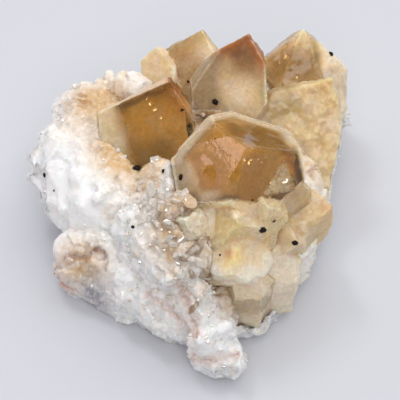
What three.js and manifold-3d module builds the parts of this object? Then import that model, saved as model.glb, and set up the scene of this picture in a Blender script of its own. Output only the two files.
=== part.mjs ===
// A citrine cluster: amber quartz crystals grown together on a lump of massive white quartz.
// Units are millimetres, +Z is up, and the origin is under the middle of the cluster, on its flat seat.
import * as THREE from "three";
import { ConvexGeometry } from "three/addons/geometries/ConvexGeometry.js";
import { MeshSurfaceSampler } from "three/addons/math/MeshSurfaceSampler.js";
import { mergeVertices } from "three/addons/utils/BufferGeometryUtils.js";
import Module from "manifold-3d";

const wasm = await Module();
wasm.setup();

// ---- Driving dimensions -------------------------------------------------------------------

const seamGap = 0.3; // air between the crystals and the rock that they stand in
const faceSlope = 51.8; // degrees between quartz's long axis and a normal of its tip faces
const seatHeight = 0; // the rock is cut off flat here and rests on the cut

// Each crystal is a six-sided prism under a tip of three large and three small faces.
// tip: where the axis leaves it. lean: [compass direction, degrees from upright] of the axis.
// turn: compass direction that the first large tip face looks to, 0 along +X and 90 along +Y.
// sides: from the axis to each of the six prism faces, in steps of 60 degrees from turn.
// long: from the tip down to the root in the rock. small: how far the small tip faces stand back.
const even = (side) => Array(6).fill(side);
const crystals = {
  leftAmber: {
    tip: [-5.5, 20, 48], lean: [0, 0], turn: -115,
    sides: [20, 17, 6, 1.5, 14, 19], long: 34, small: 12,
  },
  backLeft: {
    tip: [3.5, 44.4, 42], lean: [0, 0], turn: -118,
    sides: [14, 12, 4.5, 1, 6, 11], long: 28, small: 4,
  },
  backLeftPale: {
    tip: [-9, 43, 37], lean: [150, 12], turn: -115,
    sides: [9, 8, 4, 2, 4, 6], long: 24, small: 3,
  },
  backCentre: {
    tip: [16.1, 36.3, 48], lean: [0, 0], turn: -115,
    sides: [17, 14, 4.2, 1, 8, 16], long: 36, small: 3.8,
  },
  backRight: {
    tip: [31.8, 44.4, 42], lean: [0, 0], turn: -90,
    sides: [14, 12, 12, 5, 11, 11], long: 33, small: 0.5,
  },
  rightEdge: {
    tip: [41, 40, 34], lean: [20, 15], turn: -95,
    sides: [12, 9, 4, 5, 8, 9], long: 28, small: 1,
  },
  rightFace: {
    tip: [39, 28, 39], lean: [0, 19], turn: -115,
    sides: [28, 24, 5, 4, 12, 22], long: 38, small: 6,
  },
  centre: {
    tip: [14.6, -10.7, 54], lean: [-90, 20], turn: -170,
    sides: [18, 12.5, 12, 14.5, 17, 17], long: 46, small: 6,
  },
  frontMain: {
    tip: [13, -26, 37], lean: [-90, 45], turn: -70,
    sides: even(11), long: 30, small: 3,
  },
  frontRight: {
    tip: [20.5, -21, 38], lean: [-70, 40], turn: -50,
    sides: even(7), long: 26, small: 1,
  },
  frontLower: {
    tip: [11, -34, 27], lean: [-95, 62], turn: -100,
    sides: even(9), long: 22, small: 2,
  },
  frontLeft: {
    tip: [-1, -19, 36], lean: [-120, 30], turn: -140,
    sides: even(6), long: 22, small: 1,
  },
  rightUpper: {
    tip: [29, -9, 39], lean: [-30, 35], turn: -60,
    sides: even(8), long: 28, small: 2,
  },
  rightTip: {
    tip: [37.6, -9.9, 30], lean: [-15, 50], turn: -60,
    sides: even(8), long: 26, small: 2,
  },
  rightLower: {
    tip: [28, -20, 28], lean: [-60, 50], turn: -60,
    sides: even(7), long: 24, small: 1,
  },
  leftPale: {
    tip: [-32, 35, 28], lean: [140, 15], turn: -110,
    sides: [6, 6, 4, 4, 4, 6], long: 16, small: 1,
  },
  leftPaleUpper: {
    tip: [-19, 38.5, 32], lean: [110, 10], turn: -115,
    sides: [10, 9, 5, 5, 5, 9], long: 20, small: 2,
  },
  smokyLeft: {
    tip: [16, -25, 26], lean: [-80, 4], turn: -95,
    sides: even(6), long: 23, small: 1,
  },
  smokyMiddle: {
    tip: [23, -19.5, 26], lean: [-60, 5], turn: -75,
    sides: even(7), long: 23, small: 1,
  },
  smokyRight: {
    tip: [28.5, -12, 26], lean: [-30, 6], turn: -50,
    sides: even(6), long: 22, small: 1,
  },
  backLow: {
    tip: [14, 49, 25], lean: [85, 50], turn: 60,
    sides: even(7), long: 22, small: 1.5,
  },
  backLowRight: {
    tip: [36, 46, 22], lean: [50, 55], turn: 20,
    sides: even(6), long: 22, small: 1,
  },
  backLowLeft: {
    tip: [-9, 47, 24], lean: [105, 50], turn: 80,
    sides: even(6), long: 20, small: 1,
  },
};

// The rock is made of overlapping lumps, each the skin over one or two stretched balls.
// middles: where the balls are. size: half their length, width and height.
const rockLumps = [
  { middles: [[-18, 20, 9], [22, 20, 9]], size: [20, 24, 11] }, // slab under the crystals
  { middles: [[-14, -3, 5], [12, -3, 5]], size: [15, 23, 8] }, // floor of the rock
  { middles: [[-26, 20, 17], [-20, 6, 16]], size: [16, 15, 12] }, // left shoulder
  { middles: [[-29, 21, 19], [-23, 5, 17]], size: [13, 15, 12] },
  { middles: [[-36, 15, 21], [-33, 7, 16]], size: [10, 11, 9] }, // bulge at the far left
  { middles: [[-27, 31, 18]], size: [13, 11, 12] },
  { middles: [[-28.5, -9, 8]], size: [9, 10, 9] }, // stained lobe
  { middles: [[-28, -12, 4], [-15, -19, 4]], size: [8.5, 8, 8] }, // foot of the lobe
  { middles: [[-18, -10, 8], [0, -25.5, 7]], size: [14, 11, 11] }, // foot of the front
  { middles: [[-8, -10, 18], [1, -19, 17]], size: [14, 13, 14] }, // front wall
  { middles: [[-1, -13, 26]], size: [9, 8, 10] }, // knob under the centre crystal
  { middles: [[2, -27, 14], [6, -36, 7]], size: [6.5, 7, 8] }, // ridge down to the toe
  { middles: [[6.5, -38.5, 4], [9, -41, 3.5]], size: [6.5, 5.5, 5.5] }, // toe
  { middles: [[16, -24, 2], [22, -13, 5]], size: [8, 8, 7] }, // foot of the right front
  { middles: [[26, 2, 11], [29, 24, 13]], size: [12, 15, 13] }, // right wall
  { middles: [[31.5, 38, 11], [6, 41, 14]], size: [13.5, 12, 14] }, // back wall
  { middles: [[35, 42, 6]], size: [11, 11, 8] }, // foot of the back corner
  { middles: [[5, 10, 20]], size: [24, 24, 15] },
];

// Small quartz points that stand out along the left and back rim of the rock: [x, y, z, width].
const rimPoints = [
  [-43, 23, 24, 5],
  [-36.3, 34.7, 25, 5],
  [-32.8, 36.8, 28, 7],
  [-28.7, 34.7, 29, 6],
  [-26.1, 37.1, 30, 6],
  [-22.8, 38.6, 31, 5],
  [-19.9, 38.5, 31.5, 6],
  [-15.9, 38.2, 32.5, 7],
];
const rimLean = 40; // degrees that they lean away from the middle of the rock
const rimTwist = 37; // degrees that each is turned from the one before
const rimRoot = 14; // from their tips down into the rock

// Broken lumps that stand out of the rock all over, and pits between them. sunk is the share of its
// own size that each lies under the skin.
const grains = { count: 90, smallest: 2.5, largest: 6.5, sunk: 0.55, seed: 12 };
const pits = { count: 26, smallest: 1.5, largest: 3.2, sunk: 0, seed: 11 };
const bareRim = 5; // no grain or pit lies lower than this above the seat
const lumpCorners = 40; // corners spread over each ball of a large lump
const grainCorners = 11; // and over a small one
const stray = 0.7; // radians that a corner may stray round its ball
const swell = [0.9, 1.08]; // a corner's distance from the middle, as a share of the ball's

// ---- Helpers ------------------------------------------------------------------------------

const radians = THREE.MathUtils.degToRad;

// A repeatable stream of numbers from 0 to 1.
function randomStream(seed) {
  let state = seed >>> 0;
  return () => {
    state = (state + 0x6d2b79f5) >>> 0;
    let mixed = Math.imul(state ^ (state >>> 15), state | 1);
    mixed ^= mixed + Math.imul(mixed ^ (mixed >>> 7), mixed | 61);
    return ((mixed ^ (mixed >>> 14)) >>> 0) / 4294967296;
  };
}

// A closed three.js geometry as a solid that can be joined and cut.
function toSolid(geometry) {
  const bare = geometry.clone();
  bare.deleteAttribute("normal");
  bare.deleteAttribute("uv");
  const merged = mergeVertices(bare, 1e-4);
  return new wasm.Manifold(
    new wasm.Mesh({
      numProp: 3,
      vertProperties: merged.attributes.position.array,
      triVerts: new Uint32Array(merged.index.array),
    }),
  );
}

function toGeometry(solid) {
  const mesh = solid.getMesh();
  const geometry = new THREE.BufferGeometry();
  geometry.setAttribute("position", new THREE.BufferAttribute(mesh.vertProperties, 3));
  geometry.setIndex(new THREE.BufferAttribute(mesh.triVerts, 1));
  const flat = geometry.toNonIndexed();
  flat.computeVertexNormals();
  return flat;
}

// The corners of the convex body inside a set of planes.
function cornersOf(planes) {
  const corners = [];
  const touches = (p) => planes.every((plane) => plane.normal.dot(p) <= plane.reach + 1e-5);
  for (let i = 0; i < planes.length; i++)
    for (let j = i + 1; j < planes.length; j++)
      for (let k = j + 1; k < planes.length; k++) {
        const [a, b, c] = [planes[i], planes[j], planes[k]];
        const volume = a.normal.dot(new THREE.Vector3().crossVectors(b.normal, c.normal));
        if (Math.abs(volume) < 1e-6) continue;
        const point = new THREE.Vector3()
          .addScaledVector(new THREE.Vector3().crossVectors(b.normal, c.normal), a.reach)
          .addScaledVector(new THREE.Vector3().crossVectors(c.normal, a.normal), b.reach)
          .addScaledVector(new THREE.Vector3().crossVectors(a.normal, b.normal), c.reach)
          .divideScalar(volume);
        if (!touches(point)) continue;
        if (corners.every((q) => q.distanceTo(point) > 1e-3)) corners.push(point);
      }
  return corners;
}

// ---- Pieces -------------------------------------------------------------------------------

// One quartz crystal. grow moves every face outwards but the root, which sits on the rock.
function crystalSolid({ tip, lean, turn, sides, long, small }, grow = 0) {
  const planes = [];
  for (let k = 0; k < 6; k++) {
    const side = radians(turn + 60 * k);
    const slope = radians(faceSlope);
    const across = new THREE.Vector3(Math.cos(side), Math.sin(side), 0);
    planes.push({ normal: across, reach: sides[k] + grow });
    const tipNormal = across.clone().multiplyScalar(Math.sin(slope)).setZ(Math.cos(slope));
    const back = k % 2 ? small * Math.sin(slope) : 0;
    planes.push({ normal: tipNormal, reach: back + grow });
  }
  planes.push({ normal: new THREE.Vector3(0, 0, -1), reach: long });
  const [compass, tilt] = lean.map(radians);
  const hingeAxis = new THREE.Vector3(-Math.sin(compass), Math.cos(compass), 0);
  const place = new THREE.Matrix4().makeRotationAxis(hingeAxis, tilt).setPosition(...tip);
  return toSolid(new ConvexGeometry(cornersOf(planes).map((p) => p.applyMatrix4(place))));
}

// A convex lump of broken quartz with flat faces.
function lumpSolid({ middles, size }, seed, corners = lumpCorners) {
  const random = randomStream(seed);
  const golden = Math.PI * (3 - Math.sqrt(5));
  const points = [];
  for (const middle of middles)
    for (let i = 0; i < corners; i++) {
      const height = 1 - (2 * (i + 0.5)) / corners;
      const around = golden * i + (random() - 0.5) * stray;
      const ring = Math.sqrt(1 - height * height);
      const reach = THREE.MathUtils.lerp(...swell, random());
      const ball = [ring * Math.cos(around), ring * Math.sin(around), height];
      points.push(new THREE.Vector3(...ball.map((v, axis) => middle[axis] + v * reach * size[axis])));
    }
  return toSolid(new ConvexGeometry(points));
}

const joined = (solids) => wasm.Manifold.union(solids);

// Chips that the cuts set free are dropped, and the one whole body stays.
const largestOf = (solids) => solids.reduce((best, next) => (next.volume() > best.volume() ? next : best));

// Small lumps spread over the skin of a solid.
function lumpsOver(solid, { count, smallest, largest, sunk, seed }) {
  const random = randomStream(seed);
  const skin = new THREE.Mesh(toGeometry(solid));
  const sampler = new MeshSurfaceSampler(skin).setRandomGenerator(random).build();
  const spot = new THREE.Vector3();
  const outwards = new THREE.Vector3();
  const lumps = [];
  while (lumps.length < count) {
    sampler.sample(spot, outwards);
    if (spot.z < seatHeight + bareRim) continue;
    const size = [0, 0, 0].map(() => smallest + (largest - smallest) * random() ** 2);
    spot.addScaledVector(outwards, -sunk * Math.min(...size));
    lumps.push(lumpSolid({ middles: [spot.toArray()], size }, seed * 1000 + lumps.length, grainCorners));
  }
  return lumps;
}

function rimPoint([x, y, z, width], index) {
  const outwards = THREE.MathUtils.radToDeg(Math.atan2(y, x));
  return crystalSolid({
    tip: [x, y, z],
    lean: [outwards, rimLean],
    turn: rimTwist * index,
    sides: even(width / 2),
    long: rimRoot,
    small: 0.5,
  });
}

// Everything under the seat, wider and deeper than the cluster.
function belowSeat() {
  const [wide, deep] = [300, 60];
  const block = new THREE.BoxGeometry(wide, wide, deep);
  block.translate(0, 0, seatHeight - deep / 2);
  return toSolid(block);
}

const crystalList = Object.values(crystals);
const crystalBody = joined(crystalList.map((c) => crystalSolid(c))).subtract(belowSeat());
const crystalSockets = joined(crystalList.map((c) => crystalSolid(c, seamGap)));
const plainRock = joined(rockLumps.map((lump, i) => lumpSolid(lump, 100 + i))).subtract(belowSeat());
const rockWithChips = joined([plainRock, ...lumpsOver(plainRock, grains), ...rimPoints.map(rimPoint)])
  .subtract(joined(lumpsOver(plainRock, pits)))
  .subtract(belowSeat())
  .subtract(crystalSockets);
const rockBody = largestOf(rockWithChips.decompose());

const cluster = new THREE.Group();

function addPiece(name, solid, look) {
  const piece = new THREE.Mesh(toGeometry(solid), new THREE.MeshStandardMaterial(look));
  piece.name = name;
  cluster.add(piece);
}

addPiece("citrine_crystals", crystalBody, { color: 0xc79a4a, roughness: 0.25, metalness: 0 });
addPiece("quartz_matrix", rockBody, { color: 0xe9e4df, roughness: 0.6, metalness: 0 });

export default cluster;
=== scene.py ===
import math
import random

import bmesh
import bpy
import numpy as np
from mathutils import Matrix, Vector, noise
from mathutils.bvhtree import BVHTree
from mathutils.kdtree import KDTree


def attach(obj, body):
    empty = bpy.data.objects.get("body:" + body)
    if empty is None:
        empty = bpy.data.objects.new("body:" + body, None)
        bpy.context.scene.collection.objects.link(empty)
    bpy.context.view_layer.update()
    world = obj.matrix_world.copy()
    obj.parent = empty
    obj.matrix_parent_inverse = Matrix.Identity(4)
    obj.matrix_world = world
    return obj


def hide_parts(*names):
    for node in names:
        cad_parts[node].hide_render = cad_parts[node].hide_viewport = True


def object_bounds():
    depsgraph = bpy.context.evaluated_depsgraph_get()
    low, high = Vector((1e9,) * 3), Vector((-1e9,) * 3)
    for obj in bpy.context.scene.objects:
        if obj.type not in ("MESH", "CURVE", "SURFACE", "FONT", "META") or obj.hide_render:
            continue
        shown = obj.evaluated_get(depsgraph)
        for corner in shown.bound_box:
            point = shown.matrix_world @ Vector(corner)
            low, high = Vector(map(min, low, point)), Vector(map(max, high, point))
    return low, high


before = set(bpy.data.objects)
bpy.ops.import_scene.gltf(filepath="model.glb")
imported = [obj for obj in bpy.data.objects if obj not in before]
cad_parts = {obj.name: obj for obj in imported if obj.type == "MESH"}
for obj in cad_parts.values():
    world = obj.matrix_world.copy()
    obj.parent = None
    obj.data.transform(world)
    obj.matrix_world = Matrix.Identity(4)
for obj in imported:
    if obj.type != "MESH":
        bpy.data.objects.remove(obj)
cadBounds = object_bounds()

# Meshes are built in millimetres, which suits the mesh tools, and go into the scene in metres.
mm = 0.001
quartzIor = 1.544
boxMargin = 0.05  # mm that every piece stays inside the box of the solids
scene = bpy.context.scene
noise.seed_set(2)  # its vectors start from the clock otherwise, and every run breaks the rock anew


def toLinear(hexColour):
    shares = [int(hexColour[i:i + 2], 16) / 255 for i in (1, 3, 5)]
    linear = [s / 12.92 if s <= 0.04045 else ((s + 0.055) / 1.055) ** 2.4 for s in shares]
    return (*linear, 1.0)


def addNode(tree, kind, values=None, links=None):
    # Values go to settings or sockets. A grain in mm becomes a pattern's scale, and hex colours turn linear.
    node = tree.nodes.new("ShaderNode" + kind)
    values = dict(values or {})
    if "grain" in values:
        values["Scale"] = 1 / (values.pop("grain") * mm)
    for key, value in values.items():  # settings first, because they change which sockets there are
        if not isinstance(key, int) and key not in node.inputs:
            setattr(node, key, value)
    for key, value in values.items():
        if isinstance(key, int) or key in node.inputs:
            isColour = isinstance(value, str) and value.startswith("#")
            node.inputs[key].default_value = toLinear(value) if isColour else value
    for key, source in (links or {}).items():
        if isinstance(source, bpy.types.Node):
            source = next(socket for socket in source.outputs if socket.enabled)
        tree.links.new(source, node.inputs[key])
    return node


def newMaterial(name):
    # An empty material, and the place on the object that its patterns start from.
    material = bpy.data.materials.new(name)
    material.use_nodes = True
    tree = material.node_tree
    tree.nodes.clear()
    return material, tree, addNode(tree, "TexCoord").outputs["Object"]


def facetHeight(tree, place, size, steepness):
    # Height of flat broken facets, in metres: each cell, some mm across, is a plane of its own slope.
    cells = addNode(tree, "TexVoronoi", {"grain": size}, {"Vector": place})
    offset = addNode(tree, "VectorMath", {"operation": "SUBTRACT"}, {0: place, 1: cells.outputs["Position"]})
    slope = addNode(tree, "VectorMath", {"operation": "SUBTRACT", 1: (0.5, 0.5, 0.5)},
                    {0: cells.outputs["Color"]})
    height = addNode(tree, "VectorMath", {"operation": "DOT_PRODUCT"}, {0: offset, 1: slope})
    height = addNode(tree, "Math", {"operation": "MULTIPLY", 1: steepness}, {0: height})
    return height, cells


def convexMesh(planes):
    # planes: rows of (normal, reach). Each corner is where three planes meet inside all the others.
    normals = np.array([list(n) for n, _ in planes])
    reaches = np.array([r for _, r in planes])
    corners = []
    count = len(planes)
    for i in range(count):
        for j in range(i + 1, count):
            for k in range(j + 1, count):
                three = normals[[i, j, k]]
                if abs(np.linalg.det(three)) < 1e-6:
                    continue
                point = np.linalg.solve(three, reaches[[i, j, k]])
                if (normals @ point > reaches + 1e-4).any():
                    continue
                if all(np.linalg.norm(point - c) > 1e-3 for c in corners):
                    corners.append(point)
    bm = bmesh.new()
    for corner in corners:
        bm.verts.new(corner)
    bmesh.ops.convex_hull(bm, input=bm.verts)
    bmesh.ops.dissolve_limit(bm, angle_limit=math.radians(0.5), verts=bm.verts, edges=bm.edges)
    bmesh.ops.recalc_face_normals(bm, faces=bm.faces)
    return bm


def meshFrom(bm, name):
    mesh = bpy.data.meshes.new(name)
    bm.to_mesh(mesh)
    bm.free()
    return mesh


def joinedMeshes(meshes, name):
    bm = bmesh.new()
    for mesh in meshes:
        bm.from_mesh(mesh)
    return meshFrom(bm, name)


def evaluated(holder, name):
    bpy.context.view_layer.update()
    graph = bpy.context.evaluated_depsgraph_get()
    mesh = bpy.data.meshes.new_from_object(holder.evaluated_get(graph), depsgraph=graph)
    mesh.name = name
    return mesh


def unionOf(meshes, name):
    # The first mesh is joined with all the others by one exact boolean.
    others = bpy.data.collections.new("others")
    scene.collection.children.link(others)
    holders = []
    for i, mesh in enumerate(meshes):
        holder = bpy.data.objects.new(f"union{i}", mesh)
        (scene.collection if i == 0 else others).objects.link(holder)
        holders.append(holder)
    joiner = holders[0].modifiers.new("join", "BOOLEAN")
    joiner.operation = "UNION"
    joiner.solver = "EXACT"
    joiner.operand_type = "COLLECTION"
    joiner.collection = others
    joined = evaluated(holders[0], name)
    for holder in holders:
        bpy.data.objects.remove(holder)
    bpy.data.collections.remove(others)
    return joined


def refine(mesh, longestAt, shortest):
    # Splits long edges, so that relief has points to move. longestAt gives the length allowed at each place.
    bm = bmesh.new()
    bm.from_mesh(mesh)
    bmesh.ops.triangulate(bm, faces=bm.faces)
    for _ in range(12):
        edges = [e for e in bm.edges if e.calc_length() > shortest]
        middles = np.array([(e.verts[0].co + e.verts[1].co) / 2 for e in edges])
        lengths = np.array([e.calc_length() for e in edges])
        long = np.nonzero(lengths > longestAt(middles))[0]
        if len(long) == 0:
            break
        bmesh.ops.subdivide_edges(bm, edges=[edges[i] for i in long], cuts=1)
        bmesh.ops.triangulate(bm, faces=[f for f in bm.faces if len(f.verts) > 3])
    bm.to_mesh(mesh)
    bm.free()


def smoothed(mesh, values, share, rounds):
    # Each point moves part of the way to the middle of its neighbours, and a little back, so nothing shrinks.
    ends = np.empty(len(mesh.edges) * 2, dtype=np.int32)
    mesh.edges.foreach_get("vertices", ends)
    one, other = ends.reshape(-1, 2).T
    count = np.bincount(ends, minlength=len(values)).clip(1)[:, None]
    for turn in range(2 * rounds):
        total = np.zeros_like(values)
        for axis in range(values.shape[1]):
            total[:, axis] = (np.bincount(one, values[other, axis], len(values))
                              + np.bincount(other, values[one, axis], len(values)))
        step = share[:, None] * (-1.04 if turn % 2 else 1.0)
        values = values + (total / count - values) * step
    return values


def vectorsOf(mesh, kind="co"):  # "co" for the places of the points, "normal" for their facings
    vectors = np.empty(len(mesh.vertices) * 3, dtype=np.float32)
    mesh.vertices.foreach_get(kind, vectors)
    return vectors.reshape(-1, 3).astype(np.float64)


def movePoints(mesh, points):
    mesh.vertices.foreach_set("co", points.astype(np.float32).ravel())
    mesh.update()


def insideBox(points):
    # Nothing reaches past the box of the solids.
    low, high = [np.array([v / mm for v in corner]) for corner in cadBounds]
    return np.clip(points, low + boxMargin, high - boxMargin)


def setAttributes(mesh, values):
    for name, share in values.items():
        attribute = mesh.attributes.get(name) or mesh.attributes.new(name, "FLOAT", "POINT")
        attribute.data.foreach_set("value", share.astype(np.float32))


def treeOf(mesh):
    return BVHTree.FromPolygons([v.co for v in mesh.vertices], [p.vertices for p in mesh.polygons])


def inMillimetres(node):
    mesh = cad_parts[node].data.copy()
    mesh.transform(Matrix.Scale(1 / mm, 4))
    return mesh


def addPiece(name, mesh, material, creaseAngle):
    mesh.transform(Matrix.Scale(mm, 4))
    mesh.name = name
    mesh.materials.clear()
    mesh.materials.append(material)
    mesh.shade_smooth()
    mesh.set_sharp_from_angle(angle=math.radians(creaseAngle))
    piece = bpy.data.objects.new(name, mesh)
    scene.collection.objects.link(piece)
    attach(piece, "root")
    return piece


def smoothStep(low, high, values):
    share = np.clip((values - low) / (high - low), 0, 1)
    return share * share * (3 - 2 * share)


def noiseAt(points, grain, seed=0, octaves=3):
    # Soft noise from about -1 to 1, with features of the given size.
    shift = Vector((seed * 17.3, seed * 5.1, seed * 9.7))
    return np.array([noise.fractal(Vector(p) / grain + shift, 1.0, 2.0, octaves) for p in points])


def cellRelief(points, spacing, tilt, seed):
    # Flat broken facets: each random cell is a plane of its own slope.
    shift = Vector((seed * 3.7, seed * 1.3, seed * 2.9))
    heights = np.empty(len(points))
    for i, p in enumerate(points):
        spot = Vector(p) / spacing + shift
        middle = noise.voronoi(spot)[1][0]
        slope = noise.noise_vector(middle * 7.31)
        heights[i] = (spot - middle).dot(slope) * spacing * tilt
    return heights


def nearness(points, spot, radius):
    # 1 at the spot, fading over the radius.
    return np.exp(-(np.linalg.norm(points - np.array(spot), axis=1) / radius) ** 2)


def strayed(facing, spread, rng):
    return (facing + Vector([rng.gauss(0, spread) for _ in range(3)])).normalized()


solidRock = inMillimetres("quartz_matrix")
solidRockTree = treeOf(solidRock)
solidCrystalTree = treeOf(inMillimetres("citrine_crystals"))

# The view that marks and zones are placed from: pixels across and down a square.
view = {
    "elevation": 50, "target": Vector((3, 0, 21)), "distance": 360,  # degrees and mm
    "lens": 120, "sensor": 36, "pixels": 400}  # mm, and pixels along a side
lift = math.radians(view["elevation"])
ahead = Vector((0, math.cos(lift), -math.sin(lift)))
upward = Vector((0, math.sin(lift), math.cos(lift)))
eye = view["target"] - ahead * view["distance"]
middle = view["pixels"] / 2

# Lamps that mirror in the crystals, in mm.
windowPlace = Vector((-220, 300, 700))
panelPlace = Vector((-590, 150, 95))


def surfaceAt(across, down, trees):
    # The place and the facing of the first surface under a pixel.
    spread = view["sensor"] / view["lens"] / view["pixels"]
    ray = ahead + Vector((1, 0, 0)) * (across - middle) * spread + upward * (middle - down) * spread
    hits = [tree.ray_cast(eye, ray.normalized()) for tree in trees]
    hits = [(hit[3], hit[0], hit[1]) for hit in hits if hit[0] is not None]
    return min(hits, key=lambda hit: hit[0])[1:] if hits else (None, None)


def spotsUnder(rows, trees):
    # Rows start with pixels across and down. Gives the place and the facing there, and the rest of the row.
    for across, down, *rest in rows:
        spot, normal = surfaceAt(across, down, trees)
        if spot is not None:
            yield spot, normal, *rest


def pixelsOf(points):
    away = points - np.array(eye)
    deep = away @ np.array(ahead)
    scale = view["pixels"] * view["lens"] / view["sensor"]
    across = middle + scale * away[:, 0] / deep
    down = middle - scale * (away @ np.array(upward)) / deep
    return np.stack([across, down], 1)


def insideOf(pixels, corners):
    # How many pixels inside a polygon each place lies, and below zero outside it.
    corners = np.array(corners, float)
    nearest = np.full(len(pixels), 1e9)
    inside = np.zeros(len(pixels), bool)
    for start, end in zip(corners, np.roll(corners, -1, 0)):
        span = end - start
        share = np.clip((pixels - start) @ span / (span @ span), 0, 1)
        nearest = np.minimum(nearest, np.linalg.norm(pixels - start - share[:, None] * span, axis=1))
        crosses = (start[1] > pixels[:, 1]) != (end[1] > pixels[:, 1])
        meets = start[0] + (pixels[:, 1] - start[1]) * span[0] / (span[1] or 1e-9)
        inside ^= crosses & (pixels[:, 0] < meets)
    return np.where(inside, nearest, -nearest)


def tint(field, marks, trees, points):
    # Each mark strengthens its sign around the place where its pixel meets the stone.
    for sign, rows in marks.items():
        for spot, _, radius, strength in spotsUnder(rows, trees):
            field[sign] = field[sign] + nearness(points, spot, radius) * strength


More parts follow.
